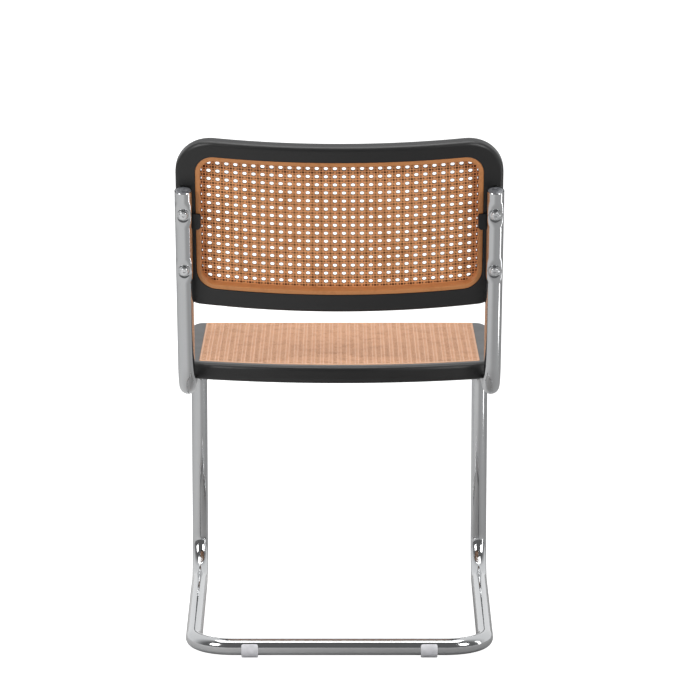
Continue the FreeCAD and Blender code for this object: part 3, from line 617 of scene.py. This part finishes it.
def from_crossing(value):
    """Signed distance from the nearest crossing of the pairs, which lie a pitch apart."""
    return (value + cane_pitch / 2) % cane_pitch - cane_pitch / 2


def pair_height(along, side):
    """Over one strand and under the next at each crossing: a full sine wave within its reach."""
    distance = from_crossing(along)
    wave = np.sin(np.pi * distance / crossing_reach)
    return side * pair_rise * np.where(np.abs(distance) < crossing_reach, wave, 0.0)


def cane(hold, reach_u, reach_v, upright_lift=0.0):
    """The webbing in its own plane: web, upright pairs, level pairs and both diagonals.

    Pairs cross at whole pitches, and the uprights may stand proud of the rest by a lift.
    Diagonals run through the middles between crossings, and rise and sink as the cosine of
    their way across, one family against the other. A hole is an octagon of straight and
    slanted sides, and the web closes round its wall from top to underside.
    """
    lattice = np.array([-crossing_reach, -pair_half_gap, 0.0, pair_half_gap, crossing_reach,
                        cane_pitch / 2])

    def whole_pitches(reach):
        return np.arange(-np.ceil(reach / cane_pitch) - 1, np.ceil(reach / cane_pitch) + 2) * cane_pitch

    def stations(reach):
        return (whole_pitches(reach)[:, None] + lattice).ravel()

    families = {"uprights": [], "levels": [], "diagonals": []}
    for side in (-1, 1):
        lines = whole_pitches(reach_u) + side * pair_half_gap
        starts = np.stack([lines, np.zeros_like(lines)], axis=1)
        families["uprights"].append(strands(starts, np.array([0.0, 1.0]),
                                            lambda u, v, side=side: upright_lift + pair_height(v, side),
                                            stations(reach_v), hold))
        lines = whole_pitches(reach_v) + side * pair_half_gap
        starts = np.stack([np.zeros_like(lines), lines], axis=1)
        families["levels"].append(strands(starts, np.array([1.0, 0.0]),
                                          lambda u, v, side=side: pair_height(u, -side),
                                          stations(reach_u), hold))
        lines = whole_pitches(reach_u + reach_v) + cane_pitch / 2
        starts = np.stack([np.zeros_like(lines), lines], axis=1)
        edge_u = reach_u + cane_pitch
        along = np.arange(-edge_u, edge_u, cane_pitch / diagonal_steps) * np.sqrt(2)
        families["diagonals"].append(strands(
            starts, np.array([1.0, side]) / np.sqrt(2),
            lambda u, v, side=side: side * diagonal_rise * np.cos(2 * np.pi * u / cane_pitch), along, hold))
    whole = {}
    for family, halves in families.items():
        u, v, height = (np.concatenate([half[k] for half in halves]) for k in range(3))
        faces = np.concatenate([halves[0][3], halves[1][3] + len(halves[0][0])])
        whole[family] = (u, v, height, faces)
    near = hole_slant * np.sqrt(2) - hole_straight
    ring = [(hole_straight, near), (near / 2 + hole_straight / 2,) * 2, (near, hole_straight)]
    edge = cane_pitch / 2
    border = [(edge, near), (edge, edge), (near, edge)]
    quarter = np.array([border, ring, ring, border], float)
    turned = [quarter]
    for _ in range(3):
        turned.append(np.stack([-turned[-1][..., 1], turned[-1][..., 0]], axis=-1))
    cell = np.concatenate(turned, axis=1)
    cell[1:3, :, 1] *= hole_flatness
    centres_u, centres_v = np.meshgrid(whole_pitches(reach_u) + edge, whole_pitches(reach_v) + edge)
    held = np.stack(hold(centres_u, centres_v), axis=-1)
    inside = np.hypot(held[..., 0] - centres_u, held[..., 1] - centres_v) < edge
    centres = np.stack([centres_u[inside], centres_v[inside]], axis=-1)
    flat = centres[:, None, None] + cell
    level = np.array([web_top, web_top, web_bottom, web_bottom])[:, None]
    height = np.broadcast_to(level, flat.shape[:-1]).copy()
    u, v = hold(flat[..., 0], flat[..., 1])
    height[np.hypot(u - flat[..., 0], v - flat[..., 1]) > same_spot] = web_top
    faces = grid_faces(4, cell.shape[1])
    faces = (faces + (np.arange(len(centres)) * 4 * cell.shape[1])[:, None, None]).reshape(-1, 4)
    whole["web"] = (u.ravel(), v.ravel(), height.ravel(), faces)
    return whole


def paint_far_side(web, toward, material):
    """The far side of the sheet is plain tan: faces within 60 degrees of a direction take it, and the others
    keep the web's painted shade.
    """
    mesh = web.data
    mesh.materials.append(material)
    ways = np.empty(len(mesh.polygons) * 3)
    mesh.polygons.foreach_get("normal", ways)
    facing = ways.reshape(-1, 3) @ np.array(toward) > 0.5
    mesh.polygons.foreach_set("material_index", facing.astype(np.int32))


row_line = (window_top + window_bottom) / 2 + cane_pitch / 2


def hold_back_cane(u, v):
    """The back's outline in the webbing's own plane."""
    x, z = hold_back(u, v + row_line)
    return x, z - row_line


back_cane = cane(hold_back_cane, window_half_width, (window_top - window_bottom) / 2 + cane_pitch)
for family, (u, v, height, faces) in back_cane.items():
    points = on_bow(u, v + row_line, sheet_depth - height)
    # The web shows painted shade, and the strands their tan painted lighter.
    material = web_painted_shade if family == "web" else strand_tan_painted_light
    piece = make_piece("back_panel_" + family, points, faces, material, crease=60.0)
    if family == "web":
        paint_far_side(piece, (0.0, -1.0, 0.0), strand_tan_painted_light)
    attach(piece, "root")


# Panel clips. Two small black nylon plates that hook over the rim beside the posts.
# Slots in the stiles hold them. The saddle pads under the seat are moulded of the same nylon.

# Black moulded nylon: matt, with a fine spark-eroded grain of about a quarter of a millimetre.
black_nylon, tree, shader = new_material("black_moulded_nylon", Roughness=0.5, IOR=1.53)
place = add_node(tree, "TexCoord", {})
spark = add_node(tree, "TexNoise", {"Scale": 1800.0, "Detail": 2.0}, [(place.outputs["Object"], "Vector")])
rubbed = add_node(tree, "TexNoise", {"Scale": 90.0, "Detail": 2.0}, [(place.outputs["Object"], "Vector")])
tone = add_node(tree, "ValToRGB", {}, [(rubbed.outputs["Fac"], "Fac")])
tone.color_ramp.elements[0].color = linear("#0c0c0d")
tone.color_ramp.elements[1].color = linear("#1a1a1b")
tree.links.new(tone.outputs["Color"], shader.inputs["Base Color"])
grain = add_node(tree, "Bump", {"Strength": 0.25, "Distance": 0.0002}, [(spark.outputs["Fac"], "Height")])
tree.links.new(grain.outputs["Normal"], shader.inputs["Normal"])
dress(["panel_clips", "seat_pads"], black_nylon)


# Back screws and inserts. Chromed pan-head screws with a cross recess, driven from behind into
# threaded steel inserts in the stiles.

screw_head_radius = 6.15
screw_head_height = 2.7
screw_crown = 0.35
screw_rounding = 1.3
screw_shank_radius = 3.0
screw_shank_length = 33.4
screw_seat = 10.9
cross_arm = 1.7
cross_half_width = 0.55
cross_depth = 1.4
screw_flat_radius = 3.2
recess_inner_share = 0.6
least_sine = 0.01
screw_sides = 48

# Chromed screw: the same plate as the tubes over a forged head, finely turned, so that it catches a softer
# and wider light than the flat of the tube. Its colour is painted lighter than the tubes' chrome: a painted
# highlight on the head.
screw_chrome_painted_light, tree, shader = new_material("chromed_screw_painted_light", Metallic=1.0)
shader.inputs["Base Color"].default_value = linear("#dfe0e1")
place = add_node(tree, "TexCoord", {})
forged = add_node(tree, "TexNoise", {"Scale": 500.0, "Detail": 2.0}, [(place.outputs["Object"], "Vector")])
gloss = add_node(tree, "MapRange", {"To Min": 0.2, "To Max": 0.32}, [(forged.outputs["Fac"], "Value")])
tree.links.new(gloss.outputs["Result"], shader.inputs["Roughness"])


def screw_surface(x, along):
    """Rings of (radius, height) turned about the screw's axis, from the recess to the tip.

    The recess's rings are a cross: the radius at an angle is the nearer of arm / cos and
    half width / sin, with the angle taken from the nearest arm.
    """
    angle = np.linspace(0, 2 * np.pi, screw_sides, endpoint=False)
    from_arm = (angle + np.pi / 4) % (np.pi / 2) - np.pi / 4
    cross = np.minimum(cross_arm / np.cos(from_arm),
                       cross_half_width / np.maximum(np.abs(np.sin(from_arm)), least_sine))
    even = np.ones(screw_sides)
    turn = np.radians([0.0, 30.0, 60.0, 90.0])[:, None]
    edge = screw_head_radius - screw_rounding
    top = screw_head_height - screw_crown
    radius = np.concatenate([[0 * cross, recess_inner_share * cross, cross, screw_flat_radius * even],
                             (edge + screw_rounding * np.sin(turn)) * even,
                             [screw_head_radius * even, screw_shank_radius * even,
                              screw_shank_radius * even, 0 * even]])
    height = np.concatenate([[screw_head_height - cross_depth] * 2, [screw_head_height] * 2,
                             (top - screw_rounding * (1 - np.cos(turn)))[:, 0],
                             [0.0, 0.0, -screw_shank_length, -screw_shank_length]])[:, None]
    return on_back(x + radius * np.cos(angle), screw_seat + height, along + radius * np.sin(angle))


screws = [screw_surface(sign * post_x, along) for _, sign in SIDES for along in back_screw_along]
rows = screws[0].shape[0]
faces = grid_faces(rows, screw_sides)
faces = np.concatenate([faces + k * rows * screw_sides for k in range(len(screws))])
heads = make_piece("back_screws_turned", np.concatenate(screws), faces, screw_chrome_painted_light, crease=40.0)
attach(heads, "root")
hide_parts("back_screws")
dress(["back_inserts"], zinc)


# Seat frame. Front, rear and side rails of beech, doweled and lacquered like the back. The
# rear edge is bowed, and the front edge falls away under the knees.

dress(["seat_rear_rail", "seat_front_rail", "seat_side_rail_left", "seat_side_rail_right"], lacquer)


# Seat panel. The same tan moulding, with the sheet at the top of a shallow rim: a narrow bead
# shows along the sides, and a smooth band at the rear and front.

seat_tilt = np.radians(-0.7)
seat_top = 39.5
fall_start_y = -373.5
fall_radius = 75.0
seat_window_half = 208.0
rear_bow, rear_bow_centre = 600.0, -589.2
front_bow, front_bow_centre = 2400.0, 2008.2
seat_corner = 6.0
seat_inner_corner = 1.0
bead_width = 2.0
band_width = 8.0
seat_rim_depth = 7.0
seat_corner_steps, seat_end_steps, seat_side_steps = 7, 34, 24


def on_seat(x, y, depth):
    """A point of the seat at a depth below its top, which falls as a circle at the front."""
    past = np.maximum(0.0, fall_start_y - np.asarray(y, float))
    fall = fall_radius - np.sqrt(fall_radius ** 2 - past ** 2)
    z = seat_top - fall - depth
    world_y = foot_y + y * np.cos(seat_tilt) + z * np.sin(seat_tilt)
    world_z = foot_z - y * np.sin(seat_tilt) + z * np.cos(seat_tilt)
    return np.stack(np.broadcast_arrays(x, world_y, world_z), axis=-1)


def seat_ring(side_inset, end_inset, corner):
    """(x, y) round the seat's window, drawn in by one inset at the sides and one at the ends.

    Rear and front are arcs about points on the middle line. Each corner arc touches its side
    and its end, so its centre lies at the end's radius less the corner's.
    """
    half = seat_window_half - side_inset
    across = half - corner
    rear_radius, front_radius = rear_bow - end_inset, front_bow - end_inset
    rear_y = rear_bow_centre + np.sqrt((rear_radius - corner) ** 2 - across ** 2)
    front_y = front_bow_centre - np.sqrt((front_radius - corner) ** 2 - across ** 2)
    angle = np.radians(np.linspace(0, 90, seat_corner_steps))
    x = np.linspace(across, -across, seat_end_steps)[1:-1]
    y = np.linspace(rear_y, front_y, seat_side_steps)[1:-1]
    rear_line = rear_bow_centre + np.sqrt(rear_radius ** 2 - x ** 2)
    front_line = front_bow_centre - np.sqrt(front_radius ** 2 - x ** 2)
    ring_x = [across + corner * np.cos(angle), x, -across - corner * np.sin(angle), np.full(len(y), -half),
              -across - corner * np.cos(angle), -x, across + corner * np.sin(angle), np.full(len(y), half)]
    ring_y = [rear_y + corner * np.sin(angle), rear_line, rear_y + corner * np.cos(angle), y,
              front_y - corner * np.sin(angle), front_line, front_y - corner * np.cos(angle), y[::-1]]
    return np.concatenate(ring_x), np.concatenate(ring_y)


# The seat's tans are greyer than the back's, though it is the same moulding: a painted sheen for the light
# that grazes the seat from above.
seat_rim_tan_painted_sheen = tan_plastic("tan_polypropylene_seat_rim_painted_sheen", "#b8865f", "#c08f69", 0.42)
seat_strand_tan_painted_sheen = tan_plastic("tan_polypropylene_seat_strands_painted_sheen", "#bd8f6e", "#cb9d7c", 0.44)

outer_ring = seat_ring(panel_clearance, panel_clearance, seat_corner)
inner_ring = seat_ring(panel_clearance + bead_width, panel_clearance + band_width, seat_inner_corner)

# Section of the rim as a share of the way in and a depth: up, over a rounded bead, and down
share = np.array([0.0, 0.0, 0.04, 0.14, 0.86, 0.96, 1.0, 1.0])
depth = np.array([seat_rim_depth, 0.2, -0.1, -panel_flush, -panel_flush, -0.15, 0.15, seat_rim_depth])
x = outer_ring[0][:, None] * (1 - share) + inner_ring[0][:, None] * share
y = outer_ring[1][:, None] * (1 - share) + inner_ring[1][:, None] * share
seat_rim = make_piece("seat_panel_rim", on_seat(x, y, depth[None, :]),
                      grid_faces(*x.shape, round_rows=True), seat_rim_tan_painted_sheen, crease=50.0)
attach(seat_rim, "root")
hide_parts("seat_cane_panel")

sheet_middle_y = -190.5
seat_sheet_depth = 1.0
seat_upright_lift = 0.4


def hold_seat_cane(u, v):
    """The nearest point inside the seat sheet's outline, half under the bead and the bands."""
    half = seat_window_half - panel_clearance - bead_width / 2
    x = np.clip(u, -half, half)
    rear = rear_bow_centre + np.sqrt((rear_bow - band_width / 2) ** 2 - x ** 2)
    front = front_bow_centre - np.sqrt((front_bow - band_width / 2) ** 2 - x ** 2)
    return x, np.clip(v + sheet_middle_y, front, rear) - sheet_middle_y


seat_cane = cane(hold_seat_cane, seat_window_half, seat_window_half, seat_upright_lift)
for family, (u, v, height, faces) in seat_cane.items():
    points = on_seat(u, v + sheet_middle_y, seat_sheet_depth - height)
    # The web shows painted shade, and the strands the seat's tan with its painted sheen.
    material = web_painted_shade if family == "web" else seat_strand_tan_painted_sheen
    piece = make_piece("seat_panel_" + family, points, faces, material, crease=60.0)
    if family == "web":
        paint_far_side(piece, (0.0, 0.0, -1.0), seat_strand_tan_painted_sheen)
    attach(piece, "root")


# Studio. A white floor that runs out of sight, dim grey walls, one large soft light overhead,
# two on the camera's side and a weak strip low at one side, so that the chrome has pale, grey
# and dark bands.

floor_half = 60.0
floor_mesh = bpy.data.meshes.new("studio_floor")
floor_mesh.from_pydata([(-floor_half, -floor_half, 0), (floor_half, -floor_half, 0),
                        (floor_half, floor_half, 0), (-floor_half, floor_half, 0)], [], [(0, 1, 2, 3)])
floor = bpy.data.objects.new("studio_floor", floor_mesh)
bpy.context.scene.collection.objects.link(floor)

# Matt paper. It glows evenly white where it is looked at, as an overexposed backdrop does. The grey by which
# it lights the chair and is mirrored in it is painted shade, darker toward -X.
paper, tree, shader = new_material("studio_paper_painted_shade", Roughness=0.9)
where = add_node(tree, "TexCoord", {})
apart = add_node(tree, "SeparateXYZ", {}, [(where.outputs["Object"], "Vector")])
# Painted shade: the paper's grey falls smoothly from 0.54 to 0.32 toward -X.
shade = add_node(tree, "MapRange", {"From Min": -0.3, "From Max": 0.3, "To Min": 0.32, "To Max": 0.54,
                                    "interpolation_type": "SMOOTHSTEP"}, [(apart.outputs["X"], "Value")])
tree.links.new(shade.outputs["Result"], shader.inputs["Base Color"])
shader.inputs["Emission Color"].default_value = linear("#ffffff")
seen = add_node(tree, "LightPath", {})
glow = add_node(tree, "MapRange", {"To Min": 0.0, "To Max": 1.0}, [(seen.outputs["Is Camera Ray"], "Value")])
tree.links.new(glow.outputs["Result"], shader.inputs["Emission Strength"])
floor_mesh.materials.append(paper)

# The air: a white backdrop beyond the chair's front, and dim grey on the camera's side.
world = bpy.data.worlds.new("studio_air")
world.use_nodes = True
tree = world.node_tree
place = add_node(tree, "TexCoord", {})
part = add_node(tree, "SeparateXYZ", {}, [(place.outputs["Generated"], "Vector")])
walls = add_node(tree, "MapRange", {"From Min": 0.3, "From Max": -0.5, "To Min": 0.16, "To Max": 0.95,
                                    "interpolation_type": "SMOOTHSTEP"}, [(part.outputs["Y"], "Value")])
air = tree.nodes["Background"]
air.inputs["Color"].default_value = linear("#fdfeff")
tree.links.new(walls.outputs["Result"], air.inputs["Strength"])
bpy.context.scene.world = world


def soft_light(name, place, aim, width, depth, power):
    """A soft light at a place, turned to its aim, in metres and watts."""
    light = bpy.data.lights.new(name, "AREA")
    light.shape = "RECTANGLE"
    light.size, light.size_y = width, depth
    light.energy = power
    lamp = bpy.data.objects.new(name, light)
    lamp.location = place
    lamp.visible_camera = False
    lamp.rotation_euler = (Vector(aim) - Vector(place)).to_track_quat("-Z", "Y").to_euler()
    bpy.context.scene.collection.objects.link(lamp)


soft_light("top_light", (0, 0.2, 3.4), (0, 0, 0.4), 3.2, 1.8, 75.0)
soft_light("rear_left_light", (3.2, 2.8, 2.2), (0, 0, 0.5), 1.6, 1.8, 80.0)
soft_light("rear_right_light", (-3.2, 2.8, 2.2), (0, 0, 0.5), 1.6, 1.8, 80.0)
soft_light("right_floor_strip", (-1.05, 0.2, 0.05), (0, 0.2, 0.45), 0.12, 1.6, 3.0)

# Camera behind the chair and above it, far off with a long lens. The photograph's middle lies
# a little to one side of the chair, hence the small shift.
lens = bpy.data.cameras.new("camera")
lens.lens = 217.2
lens.sensor_width = 36.0
lens.shift_x = 0.0151
lens.clip_end = 200.0
camera = bpy.data.objects.new("camera", lens)
camera.location = (0.0, 6.2626, 1.5465)
camera.rotation_euler = (np.radians(90.0 - 10.188), 0.0, np.pi)
bpy.context.scene.collection.objects.link(camera)
bpy.context.scene.camera = camera
bpy.context.scene.view_settings.view_transform = "Standard"
